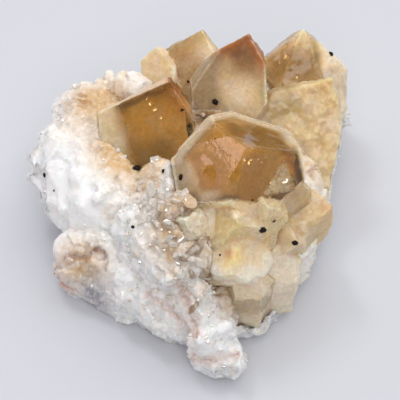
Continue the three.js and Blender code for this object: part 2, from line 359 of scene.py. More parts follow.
# The crystals, with the rows of the solids and how each one looks. Three tips at the front stand about
# 3 mm from where the solids have them, and two crystals have a facet more.
# amber: how golden. milk: how cloudy. rust: iron stain at the tip. smoke: grey. shade: how much darker,
# partly a deeper tone and partly painted shade; below zero it is painted light.
# worn: 1 where the faces are rounded off. broken: 1 where shattered. rim: a pale band along the crown.
# pale: (direction, start, end) in mm from the tip, where the crystal turns white. core: how far the golden
# cloud inside lies from the sides and the tip. facets: three corners in pixels, and how many mm the last
# one is sunk.
faceSlope = 51.8  # degrees between quartz's long axis and a normal of its tip faces
crystals = {
    "leftAmber": {
        "tip": (-5.5, 20, 48), "lean": (0, 0), "turn": -115, "long": 34, "small": 12,
        "sides": (20, 17, 6, 1.5, 14, 19), "amber": 0.85, "milk": 0.1, "rust": 0.9,
        "pale": ((-1, 0, -0.25), 14, 24), "core": (1.2, 2),
        "facets": ((((108, 109), (164, 84.5), (134, 95.5)), 0.8),)},
    "backLeft": {
        "tip": (3.5, 44.4, 42), "lean": (0, 0), "turn": -118, "long": 28, "small": 4,
        "sides": (14, 12, 4.5, 1, 6, 11), "amber": 0.4, "milk": 0.2, "worn": 0.25, "core": (1.2, 3)},
    "backLeftPale": {
        "tip": (-9, 43, 37), "lean": (150, 12), "turn": -115, "long": 24, "small": 3,
        "sides": (9, 8, 4, 2, 4, 6), "amber": 0.4, "milk": 0.5, "worn": 0.6, "shade": 0.1},
    "backCentre": {
        "tip": (16.1, 36.3, 48), "lean": (0, 0), "turn": -115, "long": 36, "small": 3.8,
        "sides": (17, 14, 4.2, 1, 8, 16), "amber": 0.4, "milk": 0.35, "rust": 1.4, "core": (1.5, 3)},
    "backRight": {
        "tip": (31.8, 44.4, 42), "lean": (0, 0), "turn": -90, "long": 33, "small": 0.5,
        "sides": (14, 12, 12, 5, 11, 11), "amber": 0.55, "milk": 0.22, "worn": 0.25, "core": (2, 3)},
    "rightEdge": {
        "tip": (41, 40, 34), "lean": (20, 15), "turn": -95, "long": 28, "small": 1,
        "sides": (12, 9, 4, 5, 8, 9), "amber": 0.1, "milk": 0.75, "worn": 0.7},
    "rightFace": {
        "tip": (39, 28, 39), "lean": (0, 19), "turn": -115, "long": 38, "small": 6,
        "sides": (28, 24, 5, 4, 12, 22), "amber": 0.45, "milk": 0.38, "worn": 0.9, "shade": 0.15},
    "centre": {
        "tip": (14.6, -10.7, 54), "lean": (-90, 20), "turn": -170, "long": 46, "small": 6,
        "sides": (18, 12.5, 12, 14.5, 17, 17), "amber": 0.85, "milk": 0, "rust": 0.15,
        "rim": 1.0, "rimSide": (-0.5, 0.87, 0), "core": (2.4, 1.2),
        "facets": ((((192, 145), (226, 136), (206, 126)), 1.3),)},
    "frontMain": {
        "tip": (12.5, -23.5, 39.2), "lean": (-90, 45), "turn": -70, "long": 30, "small": 3,
        "sides": (11,) * 6, "amber": 0.45, "milk": 0.35, "worn": 0.55},
    "frontRight": {
        "tip": (20.5, -18.8, 40), "lean": (-70, 40), "turn": -50, "long": 26, "small": 1,
        "sides": (7,) * 6, "amber": 0.45, "milk": 0.4, "worn": 0.55},
    "frontLower": {
        "tip": (11, -31.5, 29.2), "lean": (-95, 62), "turn": -100, "long": 22, "small": 2,
        "sides": (9,) * 6, "amber": 0.35, "milk": 0.4, "worn": 0.9},
    "frontLeft": {
        "tip": (-1, -19, 36), "lean": (-120, 30), "turn": -140, "long": 22, "small": 1,
        "sides": (6,) * 6, "amber": 0.1, "milk": 0.7, "worn": 0.3, "broken": 0.5},
    "rightUpper": {
        "tip": (29, -9, 39), "lean": (-30, 35), "turn": -60, "long": 28, "small": 2,
        "sides": (8,) * 6, "amber": 0.5, "milk": 0.35, "worn": 0.5, "shade": 0.1},
    "rightTip": {
        "tip": (37.6, -9.9, 30), "lean": (-15, 50), "turn": -60, "long": 26, "small": 2,
        "sides": (8,) * 6, "amber": 0.55, "milk": 0.4, "rust": 0.15, "worn": 0.8, "shade": 0.18},
    "rightLower": {
        "tip": (28, -20, 28), "lean": (-60, 50), "turn": -60, "long": 24, "small": 1,
        "sides": (7,) * 6, "amber": 0.35, "milk": 0.45, "worn": 0.6, "shade": 0.15},
    "leftPale": {
        "tip": (-32, 35, 28), "lean": (140, 15), "turn": -110, "long": 16, "small": 1,
        "sides": (6, 6, 4, 4, 4, 6), "amber": 0.05, "milk": 0.8, "worn": 0.5},
    "leftPaleUpper": {
        "tip": (-19, 38.5, 32), "lean": (110, 10), "turn": -115, "long": 20, "small": 2,
        "sides": (10, 9, 5, 5, 5, 9), "amber": 0.1, "milk": 0.75, "worn": 0.5},
    "smokyLeft": {
        "tip": (16, -25, 26), "lean": (-80, 4), "turn": -95, "long": 23, "small": 1,
        "sides": (6,) * 6, "amber": 0, "milk": 0.35, "smoke": 0.5, "worn": 0.3, "broken": 0.2},
    # The smoky crystals' shade below zero is painted light: their colour is drawn lighter.
    "smokyMiddle": {
        "tip": (23, -19.5, 26), "lean": (-60, 5), "turn": -75, "long": 23, "small": 1,
        "sides": (7,) * 6, "amber": 0, "milk": 0.5, "smoke": 0.4, "shade": -0.05, "worn": 0.4, "broken": 0.2},
    "smokyRight": {
        "tip": (28.5, -12, 26), "lean": (-30, 6), "turn": -50, "long": 22, "small": 1,
        "sides": (6,) * 6, "amber": 0, "milk": 1.1, "shade": -0.4, "worn": 0.4, "broken": 0.8},
    "backLow": {
        "tip": (14, 49, 25), "lean": (85, 50), "turn": 60, "long": 22, "small": 1.5,
        "sides": (7,) * 6, "amber": 0.45, "milk": 0.35},
    "backLowRight": {
        "tip": (36, 46, 22), "lean": (50, 55), "turn": 20, "long": 22, "small": 1,
        "sides": (6,) * 6, "amber": 0.35, "milk": 0.45},
    "backLowLeft": {
        "tip": (-9, 47, 24), "lean": (105, 50), "turn": 80, "long": 20, "small": 1,
        "sides": (6,) * 6, "amber": 0.35, "milk": 0.45},
}
crystalSkin = {
    "bevel": 0.25,  # width of the blunted edges, mm
    "edgeMesh": 0.9, "faceMesh": 1.6, "hiddenMesh": 5.0, "detailMesh": 0.6,  # longest mesh edges, mm
    "shortest": 0.55,  # mesh edges below this are not split, mm
    "edgeBand": 1.0, "coverNear": 0.7,  # mm that count as beside an edge, and as under the rock
    "rimBand": (1.8, 4.6), "rimEnds": (-4, 4), "rustReach": 12, "edgeReach": 3,  # fading of the signs, mm
    "lump": 0.85, "lumpGrain": 5.0, "bead": 0.26, "beadGrain": 1.8,  # relief of the worn crystals, mm
    "chip": 0.35, "chipGrain": 2.2,  # chips out of the sharp edges, mm
    "shatter": 2.0, "shatterTilt": 0.9,  # size in mm and tilt of the facets of a shattered patch
    "swell": 0.12, "swellGrain": 5.0,  # faint unevenness of the flat faces, mm
    "nickAndHighlight": 0.22, "nickAndHighlightGrain": 2.5,  # how white the edges are, partly bruises and partly painted highlight, and the length of the white patches in mm
    # colour zones of each crystal: corners in pixels, then every sign that changes, its value there and
    # the soft pixels at the edge
    # The shade rows of these zones are painted shade, partly a deeper tone.
    "zones": {
        "leftAmber": (
            (((118, 98), (165, 80), (178, 108), (150, 135), (125, 125)), ("amber", 1, 9)),
            (((142, 148), (165, 138), (176, 150), (162, 174), (133, 174)), ("smoke", 0.3, 6)),
            (((90, 95), (110, 104), (120, 130), (130, 172), (95, 170)), ("milk", 0.5, 10)),
            (((110, 98), (166, 78), (172, 92), (150, 92), (116, 108)), ("rust", 0.35, 5)),
            # This milky strip along the top-left edge is a painted highlight on the narrow face there.
            (((98, 107), (166, 76), (169, 81.5), (136, 96), (102, 111)), ("milk", 0.85, 1.2),
              ("amber", 0.3, 1.2)),
            (((108, 100), (167, 78), (172, 96), (150, 98), (118, 116)), ("shade", 0.2, 6)),
            (((128, 140), (176, 135), (178, 158), (160, 176), (130, 176)), ("shade", 0.15, 9)),
            (((90, 100), (112, 98), (122, 130), (130, 172), (90, 172)), ("shade", 0.1, 8))),
        "backCentre": (
            (((186, 88), (200, 62), (226, 48), (219, 68), (217, 84), (224, 112), (190, 112)),
              ("smoke", 0.3, 5), ("shade", 0.2, 6)),
            (((222, 84), (240, 78), (256, 84), (258, 106), (226, 112)), ("milk", 0.6, 14)),
            (((226, 58), (240, 46), (256, 60), (260, 86), (246, 78), (232, 74)), ("amber", 0.65, 10)),
            (((226, 58), (240, 36), (258, 58), (262, 86), (246, 76), (230, 74)), ("shade", 0.15, 8)),
            (((232, 52), (246, 46), (258, 62), (252, 72), (236, 68)), ("milk", 0.22, 6))),
        "backRight": (
            (((272, 60), (292, 52), (314, 56), (316, 68), (300, 76), (276, 72)), ("amber", 1, 6)),
            (((318, 40), (350, 50), (352, 100), (326, 80)), ("milk", 0.8, 5)),
            (((268, 56), (292, 50), (318, 54), (316, 72), (300, 80), (270, 80)), ("shade", 0.2, 8),
              ("milk", 0.12, 6))),
        "centre": (
            (((222, 130), (275, 134), (292, 150), (304, 180), (282, 206), (228, 202), (229, 178),
              (247, 148), (226, 138)), ("amber", 1, 3)),
            (((198, 156), (220, 160), (228, 178), (226, 198), (200, 192)), ("amber", 0.8, 4)),
            (((172, 165), (192, 160), (200, 180), (196, 204), (176, 196)), ("milk", 0.35, 5)),
            (((274, 144), (290, 148), (310, 186), (298, 180), (285, 160)), ("rust", 0.45, 3)),
            (((284, 160), (262, 196), (297, 190)), ("milk", 0.42, 1.5), ("amber", 0.4, 1.5),
              ("broken", 1, 1)),
            (((224, 124), (250, 126), (282, 138), (292, 154), (262, 150), (240, 142), (228, 134)),
              ("shade", 0.34, 4)),
            (((232, 180), (248, 150), (278, 152), (270, 178), (256, 200), (230, 202)), ("shade", 0.12, 5)),
            (((196, 204), (230, 199), (262, 203), (256, 218), (200, 216)), ("milk", 0.45, 2.5),
              ("amber", 0.4, 2.5), ("worn", 0.7, 2.5)),
            (((297, 146), (304, 144), (314, 188), (305, 192)), ("milk", 0.5, 2))),
        "rightFace": (
            (((262, 82), (292, 82), (302, 108), (274, 126), (262, 112)), ("amber", 1, 7),
              ("shade", 0.36, 7)),
            (((314, 82), (330, 80), (334, 90), (318, 96)), ("amber", 0.85, 4)),
            (((318, 100), (334, 96), (338, 140), (322, 150)), ("amber", 0.9, 5))),
        "rightEdge": (
            (((318, 40), (352, 50), (352, 100), (320, 90)), ("shade", 0.24, 6)),),
        "frontMain": (
            (((214, 216), (230, 214), (236, 236), (222, 246), (212, 236)), ("amber", 0.8, 4)),
            (((205, 200), (214, 202), (213, 236), (208, 238)), ("milk", 0.8, 2)),
            (((230, 212), (250, 206), (250, 211), (234, 218)), ("milk", 0.75, 2)),
            (((246, 214), (270, 210), (272, 246), (252, 250)), ("amber", 0.7, 5)),
            (((190, 240), (206, 236), (212, 262), (204, 280), (190, 270)), ("milk", 0.8, 5))),
        "frontLower": (
            (((220, 248), (240, 246), (246, 260), (226, 266)), ("amber", 1, 4)),
            (((224, 251), (236, 249), (240, 258), (228, 262)), ("rust", 0.35, 3)),
            (((203, 262), (225, 270), (258, 264), (268, 248), (278, 262), (262, 288), (225, 298),
              (203, 288)), ("milk", 0.95, 5))),
        "rightTip": (
            (((290, 184), (312, 190), (306, 204), (288, 200)), ("amber", 0.8, 4)),
            (((318, 202), (332, 204), (330, 216), (316, 214)), ("amber", 0.9, 3))),
        "smokyMiddle": (
            (((264, 258), (302, 256), (302, 302), (270, 312)), ("milk", 1.2, 5)),
            (((234, 282), (264, 278), (270, 294), (238, 298)), ("milk", 0.8, 4))),
        "smokyRight": (
            (((264, 258), (302, 256), (302, 302), (270, 312)), ("milk", 1.3, 5)),),
        "smokyLeft": (
            (((234, 282), (264, 278), (270, 294), (238, 298)), ("milk", 0.8, 4)),),
    },
    # small marks of each sign: pixels across and down, radius in mm, strength
    "marks": {
        "milk": ((303, 36, 3.5, 0.25), (208, 50, 4, 0.35), (250, 275, 8, 0.3)),
        "amber": ((167, 62, 4, 0.35), (190, 45, 4, 0.15), (168, 118, 5, 0.25), (325, 86, 3, 0.5),
            (304, 106, 3, 0.45), (298, 132, 5, 0.2), (228, 228, 5, 0.4), (312, 225, 5, 0.3)),
        "rust": ((228, 45, 3, 0.5), (325, 86, 2.2, 0.3), (300, 104, 2, 0.2), (236, 222, 1.8, 0.25),
            (230, 254, 1.8, 0.3), (295, 192, 3, 0.4), (326, 208, 2.5, 0.45)),
        "smoke": ((276, 245, 3.5, 0.25),),
    },
    # the band of one face that mirrors the light, and an island of it: the face is dished everywhere else
    "mirror": {
        "crystal": "centre", "face": 1, "slope": 0.16, "deepest": 2.2, "pixelsPerMm": 3.65,
        "leanDepth": (-0.3, 2.0), "edgeFade": 0.4,  # mm
        "flats": (
            ((186, 144), (226, 130), (250, 147), (229, 179), (227, 166), (217, 157), (206, 151), (188, 151)),
            ((192, 162), (202, 158), (207, 165), (203, 173), (193, 170)))}}

colourSigns = ("amber", "milk", "rust", "smoke", "shade")
placeSigns = ("broken", "worn", "along", "crown", "edge", "whose", "face")


def axisOf(row):
    compass, tilt = [math.radians(v) for v in row["lean"]]
    hinge = Vector((-math.sin(compass), math.cos(compass), 0))
    return Matrix.Rotation(tilt, 3, hinge)


def crystalPlanes(row, inset=0.0, drop=0.0):
    # Six sides, each followed by the tip face above it, and then the root.
    slope = math.radians(faceSlope)
    lower = drop * math.cos(slope)
    planes = []
    for k in range(6):
        side = math.radians(row["turn"] + 60 * k)
        across = Vector((math.cos(side), math.sin(side), 0))
        reach = row["small"] * math.sin(slope) if k % 2 else 0
        planes.append((across, row["sides"][k] - inset))
        planes.append((across * math.sin(slope) + Vector((0, 0, math.cos(slope))), reach - lower))
    planes.append((Vector((0, 0, -1)), row["long"] - 0.1 * inset))
    place, tip = axisOf(row), Vector(row["tip"])
    placed = [(place @ n, (place @ n).dot(tip) + reach) for n, reach in planes]
    return placed + [(normal, reach - drop) for normal, reach in row.get("cuts", ())]


def rowSigns(row, points, outside):
    # The signs of one crystal at each point. outside: how far each point lies past each of its planes.
    ranked = np.sort(outside[:, :12], axis=1)
    fromTip = points - np.array(row["tip"])
    axis = np.array(axisOf(row) @ Vector((0, 0, 1)))
    along = -fromTip @ axis
    direction, start, end = row.get("pale", (tuple(-axis), 0.55 * row["long"], 0.9 * row["long"]))
    pale = smoothStep(start, end, fromTip @ np.array(direction))
    crown = -outside[:, 0:12:2].max(1)  # how far in from the sides
    edge = ranked[:, -1] - ranked[:, -2]
    rim = row.get("rim", 0) * (1 - smoothStep(*crystalSkin["rimBand"], crown))
    if "rimSide" in row:
        rim = rim * smoothStep(*crystalSkin["rimEnds"], fromTip @ np.array(row["rimSide"]))
    # shade is partly a deeper tone and partly painted shade; the rim adds painted shade.
    shade = row.get("shade", 0)
    nearEdge = 0.5 + 0.5 * (1 - smoothStep(0, crystalSkin["edgeReach"], edge))
    nearTip = 1 - smoothStep(0, crystalSkin["rustReach"], along)
    return {
        "amber": row["amber"] * (1 - 0.9 * pale) * (1 - 0.9 * rim),
        "milk": np.maximum(row["milk"] + (0.9 - row["milk"]) * pale, 0.55 * rim),
        "rust": row.get("rust", 0) * nearTip * nearEdge,
        "smoke": row.get("smoke", 0),
        "shade": np.maximum(shade, 0.15 * rim) if "rim" in row else shade,
        "broken": row.get("broken", 0),
        "worn": np.maximum(row.get("worn", 0), 0.6 * pale),
        "along": along, "crown": crown, "edge": edge, "face": outside.argmax(1)}


def crystalField(points):
    # What each point needs to know: how far inside a crystal, whose it is and where it lies on it.
    depth = np.full(len(points), 1e9)
    field = {k: np.zeros(len(points)) for k in colourSigns + placeSigns}
    for index, row in enumerate(crystals.values()):
        planes = crystalPlanes(row)
        outside = points @ np.array([list(n) for n, _ in planes]).T - np.array([r for _, r in planes])
        value = outside.max(1)
        mine = value < depth
        depth[mine] = value[mine]
        field["whose"][mine] = index
        for key, signs in rowSigns(row, points, outside).items():
            field[key] = np.where(mine, signs, field[key])
    field["depth"] = depth
    return field


def paint(field, points):
    # Each zone moves signs of one crystal towards a value inside a polygon with soft edges.
    pixels = pixelsOf(points)
    for name, zones in crystalSkin["zones"].items():
        mine = field["whose"] == list(crystals).index(name)
        for corners, *changes in zones:
            inside = insideOf(pixels, corners)
            for sign, value, soft in changes:
                share = smoothStep(-soft, soft, inside) * mine
                field[sign] = field[sign] + (value - field[sign]) * share


def paintedField(points):
    field = crystalField(points)
    paint(field, points)
    tint(field, crystalSkin["marks"], (blockTree,), points)
    return field


def onMirrorFace(field):
    mirror = crystalSkin["mirror"]
    owner = list(crystals).index(mirror["crystal"])
    return (field["whose"] == owner) & (field["face"] == mirror["face"])


def mirrorDish(points, field):
    # How deep the mirroring face is dished: nothing in its flat band, which leans to mirror the panel.
    mirror = crystalSkin["mirror"]
    pixels = pixelsOf(points)
    flat = np.max([insideOf(pixels, corners) for corners in mirror["flats"]], axis=0)
    dish = np.clip(-flat / mirror["pixelsPerMm"] * mirror["slope"], 0, mirror["deepest"])
    row = crystals[mirror["crystal"]]
    apex = Vector(row["tip"])
    faceNormal = crystalPlanes(row)[mirror["face"]][0]
    wanted = ((eye - apex).normalized() + (panelPlace - apex).normalized()).normalized()
    lean = wanted - faceNormal * wanted.dot(faceNormal)
    dish += np.clip((points - np.array(apex)) @ np.array(lean), *mirror["leanDepth"])
    return dish * onMirrorFace(field) * smoothStep(0.0, mirror["edgeFade"], field["edge"])


def crystalRelief(points, field, worn):
    # Lumps and beads on the worn crystals, chips and a faint swell on the sharp ones, shattered patches.
    skin, edge = crystalSkin, field["edge"]
    relief = worn * (skin["lump"] * noiseAt(points, skin["lumpGrain"], 1)
                     + skin["bead"] * noiseAt(points, skin["beadGrain"], 2))
    chips = smoothStep(0.1, 0.5, noiseAt(points, skin["chipGrain"], 4)) * (1 - smoothStep(0.2, 1.0, edge))
    relief -= skin["chip"] * chips * (1 - worn)
    swell = skin["swell"] * noiseAt(points, skin["swellGrain"], 7, 2)
    relief += swell * (edge > 0.6) * ~onMirrorFace(field)
    relief += field["broken"] * (cellRelief(points, skin["shatter"], skin["shatterTilt"], 5) - 0.25)
    return relief - mirrorDish(points, field)


def crystalLength(places):
    # The longest mesh edge at each place: fine at edges and on worn faces, coarse where rock hides it.
    skin, field = crystalSkin, crystalField(places)
    fine = (field["edge"] < skin["edgeBand"]) | (field["worn"] > 0.25)
    hidden = np.array([solidRockTree.find_nearest(Vector(p), skin["coverNear"])[0] is not None
                       for p in places])
    length = np.where(fine, skin["edgeMesh"], skin["faceMesh"])
    length = np.where(hidden, skin["hiddenMesh"], length)
    paint(field, places)
    detailed = (field["broken"] > 0.05) | onMirrorFace(field)
    return np.where(detailed, skin["detailMesh"], length)


def facetCuts(row):
    # Each further facet is a plane through three corners on the solid, the last one sunk.
    cuts = []
    for corners, sunk in row.get("facets", ()):
        spots = [surfaceAt(*corner, (solidCrystalTree,))[0] for corner in corners]
        _, outwards = surfaceAt(*corners[2], (solidCrystalTree,))
        spots[2] = spots[2] - outwards * sunk
        normal = (spots[1] - spots[0]).cross(spots[2] - spots[0]).normalized()
        normal = normal if normal.dot(outwards) > 0 else -normal
        cuts.append((normal, normal.dot(spots[0])))
    return cuts


def crystalBlock(name, row):
    block = convexMesh(crystalPlanes(row))
    bmesh.ops.bevel(block, geom=block.edges[:], offset=crystalSkin["bevel"], segments=1, affect="EDGES",
                    clamp_overlap=True)
    return meshFrom(block, name)


def signColour(tree, place, sign, tones):
    # From pale to golden by the amber sign, then clouded, stained and greyed by the others.
    cloud = addNode(tree, "TexNoise", {"grain": 8, "Detail": 5.0, "Distortion": 0.8}, {"Vector": place})
    fine = addNode(tree, "TexNoise", {"grain": 2.2, "Detail": 6.0, "Roughness": 0.65}, {"Vector": place})
    patch = addNode(tree, "MapRange", {"From Min": 0.35, "From Max": 0.65}, {0: cloud})
    golden = addNode(tree, "Mix", {"data_type": "RGBA", 6: tones["golden"], 7: tones["amber"]}, {0: patch})
    pale = addNode(tree, "Mix", {"data_type": "RGBA", 6: tones["pale"], 7: tones["cream"]}, {0: patch})
    mottle = addNode(tree, "MapRange", {"From Min": 0.3, "From Max": 0.7, "To Min": -0.34, "To Max": 0.3},
                     {0: fine})
    keep = addNode(tree, "Math", {"operation": "MULTIPLY_ADD", "use_clamp": True, 1: -1.2, 2: 1.0},
                   {0: sign["milk"]})
    mottle = addNode(tree, "Math", {"operation": "MULTIPLY"}, {0: mottle, 1: keep})
    amber = addNode(tree, "Math", {"operation": "ADD", "use_clamp": True}, {0: sign["amber"], 1: mottle})
    colour = addNode(tree, "Mix", {"data_type": "RGBA"}, {0: amber, 6: pale, 7: golden})
    white = addNode(tree, "Math", {"operation": "MULTIPLY_ADD", 1: 0.9}, {0: patch, 2: sign["milk"]})
    white = addNode(tree, "MapRange", {"From Min": 0.6, "From Max": 1.7, "To Max": 0.85}, {0: white})
    rust = addNode(tree, "Math", {"operation": "MULTIPLY"}, {0: sign["rust"], 1: cloud})
    rust = addNode(tree, "MapRange", {"From Min": 0.08, "From Max": 0.5, "To Max": 0.9}, {0: rust})
    for tone, share in (("milk", white), ("rust", rust), ("smoke", sign["smoke"])):
        colour = addNode(tree, "Mix", {"data_type": "RGBA", 7: tones[tone]}, {0: share, 6: colour})
    grain = addNode(tree, "TexNoise", {"grain": 0.9, "Detail": 3.0}, {"Vector": place})
    grain = addNode(tree, "MapRange", {"From Min": 0.3, "From Max": 0.7, "To Min": 0.88, "To Max": 1.1},
                    {0: grain})
    # The shade sign darkens the colour, partly as a deeper tone and partly as painted shade; below zero it
    # brightens it as painted light.
    dull = addNode(tree, "Math", {"operation": "SUBTRACT", 0: 1.0}, {1: sign["shade"]})
    grain = addNode(tree, "Math", {"operation": "MULTIPLY"}, {0: grain, 1: dull})
    colour = addNode(tree, "Mix", {"data_type": "RGBA", "blend_type": "MULTIPLY", 0: 1.0},
                     {6: colour, 7: grain})
    return colour, fine


def citrineMaterial():
    # Citrine: quartz coloured by iron, with natural faces. Glassy where clear, satin where frosted,
    # golden through its depth, with milky clouds towards the root and rusty tips.
    material, tree, place = newMaterial("Citrine, natural faces")
    sign = {k: addNode(tree, "Attribute", {"attribute_name": k}).outputs["Fac"]
            for k in colourSigns + ("worn", "broken", "nickAndHighlight")}
    tones = {"golden": "#FADDA0", "amber": "#F6CD7C", "pale": "#FBE4C0", "cream": "#F4CF9A",
             "milk": "#FBF0E2", "rust": "#CE8446", "smoke": "#D3C2A4", "nickAndHighlight": "#F6EBDC"}
    colour, fine = signColour(tree, place, sign, tones)
    # Whitened edges: partly bruises, partly a painted highlight along them.
    colour = addNode(tree, "Mix", {"data_type": "RGBA", 7: tones["nickAndHighlight"]}, {0: sign["nickAndHighlight"], 6: colour})
    cloudy = addNode(tree, "Math", {"operation": "MULTIPLY_ADD", 1: 0.25}, {0: fine, 2: sign["milk"]})
    cloudy = addNode(tree, "Math", {"operation": "ADD"}, {0: cloudy, 1: sign["nickAndHighlight"]})
    cloudy = addNode(tree, "Math", {"operation": "MULTIPLY_ADD", 1: 0.28}, {0: sign["worn"], 2: cloudy})
    clear = addNode(tree, "MapRange", {"From Min": 0.2, "From Max": 0.8, "To Min": 0.96, "To Max": 0.06},
                    {0: cloudy})
    rough = addNode(tree, "MapRange", {"From Min": 0.1, "From Max": 1.0, "To Min": 0.03, "To Max": 0.4},
                    {0: cloudy})
    hillock = addNode(tree, "TexNoise", {"grain": 1.6, "Detail": 2.0}, {"Vector": place})
    facets, _ = facetHeight(tree, place, 1.8, 0.35)
    shatter, _ = facetHeight(tree, place, 1.1, 1.2)
    facets = addNode(tree, "Math", {"operation": "MULTIPLY"}, {0: facets, 1: sign["worn"]})
    shatter = addNode(tree, "Math", {"operation": "MULTIPLY"}, {0: shatter, 1: sign["broken"]})
    height = addNode(tree, "Math", {"operation": "ADD"}, {0: facets, 1: shatter})
    height = addNode(tree, "Math", {"operation": "MULTIPLY_ADD", 1: 0.04 * mm}, {0: hillock, 2: height})
    bump = addNode(tree, "Bump", {"Strength": 1.0, "Distance": 1.0}, {"Height": height})
    shader = addNode(tree, "BsdfPrincipled", {
        "IOR": quartzIor, "Subsurface Weight": 0.7, "Subsurface Radius": (0.005, 0.0035, 0.002),
        "Subsurface Scale": 1.0},
        {"Base Color": colour, "Roughness": rough, "Transmission Weight": clear, "Normal": bump})
    depth = addNode(tree, "VolumeAbsorption", {"Color": "#FDE095", "Density": 22.0})
    addNode(tree, "OutputMaterial", {}, {"Surface": shader, "Volume": depth})
    return material


print("crystals")
for row in crystals.values():
    row["cuts"] = facetCuts(row)
crystalMesh = unionOf([crystalBlock(name, row) for name, row in crystals.items()], "citrine")
blockTree = treeOf(crystalMesh)
refine(crystalMesh, crystalLength, crystalSkin["shortest"])
crystalPoints = vectorsOf(crystalMesh)
crystalMarked = paintedField(crystalPoints)
worn = smoothed(crystalMesh, crystalMarked["worn"][:, None], np.ones(len(crystalPoints)), 2)[:, 0]
crystalShape = smoothed(crystalMesh, crystalPoints, 0.6 * worn, 16)
movePoints(crystalMesh, crystalShape)
crystalFacing = vectorsOf(crystalMesh, "normal")
crystalShape += crystalFacing * crystalRelief(crystalPoints, crystalMarked, worn)[:, None]
movePoints(crystalMesh, crystalShape)
# The edges are whitened in patches: partly bruises, partly a painted highlight along them.
edgeWhitePatches = 0.35 + 0.65 * smoothStep(-0.1, 0.4, noiseAt(crystalPoints, crystalSkin["nickAndHighlightGrain"], 8))
nickAndHighlight = (1 - smoothStep(0.08, 0.3, crystalMarked["edge"])) * edgeWhitePatches
setAttributes(crystalMesh, {key: crystalMarked[key] for key in colourSigns + ("broken",)})
setAttributes(crystalMesh, {"worn": worn, "nickAndHighlight": crystalSkin["nickAndHighlight"] * nickAndHighlight * (1 - worn)})
crystalTree = treeOf(crystalMesh)
citrine = addPiece("citrine_crystals_clear", crystalMesh, citrineMaterial(), 25)
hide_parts("citrine_crystals")


# The golden clouds inside the clear crystals.
cloudSkin = {
    "mesh": 2.5, "swell": 0.5, "swellGrain": 5, "sunk": 0.5,  # longest edge, unevenness and shrinking, mm
    "under": 0.9, "reach": 2.5}  # mm that they stay under the faces, and how far off a face still counts


def cloudMaterial():
    # The golden cloud inside a citrine: no surface of its own, only a soft body that takes the light.
    material, tree, place = newMaterial("Golden cloud inside the citrine")
    tones = {"golden": "#FAD584", "amber": "#F4C766", "pale": "#F9D9A8", "cream": "#EEBF82",
             "milk": "#FAEEDD", "rust": "#A05814", "smoke": "#A88C60"}
    sign = {k: addNode(tree, "Attribute", {"attribute_name": k}).outputs["Fac"] for k in colourSigns}
    colour, fine = signColour(tree, place, sign, tones)
    clear = addNode(tree, "MapRange", {"From Min": 0.45, "From Max": 0.65, "To Min": 0.0, "To Max": 0.15},
                    {0: fine})
    shader = addNode(tree, "BsdfPrincipled", {"IOR": 1.0, "Roughness": 0.5, "Specular IOR Level": 0.0},
                     {"Base Color": colour, "Transmission Weight": clear})
    addNode(tree, "OutputMaterial", {}, {"Surface": shader})
    return material


def cloudBlock(name, row):
    mesh = meshFrom(convexMesh(crystalPlanes(row, *row["core"])), name)
    refine(mesh, lambda places: np.full(len(places), cloudSkin["mesh"]), cloudSkin["mesh"])
    soft = smoothed(mesh, vectorsOf(mesh), np.full(len(mesh.vertices), 0.5), 3)
    movePoints(mesh, soft)
    uneven = cloudSkin["swell"] * noiseAt(soft, cloudSkin["swellGrain"], 6) - cloudSkin["sunk"]
    movePoints(mesh, soft + vectorsOf(mesh, "normal") * uneven[:, None])
    return mesh


print("clouds inside")
cloudMesh = joinedMeshes([cloudBlock(name, row) for name, row in crystals.items() if "core" in row], "clouds")
cloudPoints = vectorsOf(cloudMesh)
for i, spot in enumerate(cloudPoints):
    place, outwards, _, _ = crystalTree.find_nearest(Vector(spot), cloudSkin["reach"])
    if place is not None:
        proud = (Vector(spot) - place).dot(outwards) + cloudSkin["under"]
        cloudPoints[i] -= np.array(outwards) * max(proud, 0)
movePoints(cloudMesh, cloudPoints)
cloudMarked = paintedField(cloudPoints)
setAttributes(cloudMesh, {key: cloudMarked[key] for key in colourSigns})
addPiece("golden_clouds", cloudMesh, cloudMaterial(), 40)


# Cracks that glint inside the crystals.
cracks = {
    "seed": 9, "wobble": 0.015, "thick": 0.04,  # mm thick
    # pixels across and down, depth under the surface and width in mm
    "placed": (
        (150, 104, 1, 1.6), (154, 110, 1.4, 1.2), (146, 99, 1.2, 0.9), (160, 118, 2, 1), (167, 60, 1, 1.4),
        (171, 66, 1.3, 0.9), (285, 57, 1, 1.5), (279, 62, 1.2, 1.1), (290, 66, 1.4, 0.8),
        (262, 163, 1.2, 0.9), (259, 160, 1.4, 0.7), (266, 158, 1.5, 0.8), (281, 168, 0.6, 1.6),
        (277, 176, 0.6, 2), (285, 180, 0.7, 1.8), (272, 184, 0.6, 1.5), (267, 190, 0.6, 1.2),
        (226, 78, 2, 1), (238, 246, 0.8, 1.2), (245, 252, 0.9, 0.9), (205, 118, 0.6, 1),
        (253, 120, 0.5, 1.2), (297, 78, 1, 1)),
    "stray": 70, "strayDepth": (0.8, 3.5), "strayWidth": (0.4, 1.4), "strayWobble": 0.6,
    "strayFrom": {"amber": 0.25, "worn": 0.3, "offRock": 0.9}}  # golden, sharp and some mm off the rock


def crackMaterial():
    # A crack inside the crystal: a film of air that mirrors the light in one direction.
    material, tree, place = newMaterial("Crack inside the citrine")
    ripple = addNode(tree, "TexNoise", {"grain": 0.6, "Detail": 2.0}, {"Vector": place})
    colour = addNode(tree, "Mix", {"data_type": "RGBA", 6: "#FFF4DC", 7: "#FFE7B8"}, {0: ripple})
    bump = addNode(tree, "Bump", {"Strength": 0.5, "Distance": 0.2 * mm}, {"Height": ripple})
    shader = addNode(tree, "BsdfPrincipled", {"Metallic": 1.0, "Roughness": 0.18},
                     {"Base Color": colour, "Normal": bump})
    addNode(tree, "OutputMaterial", {}, {"Surface": shader})
    return material


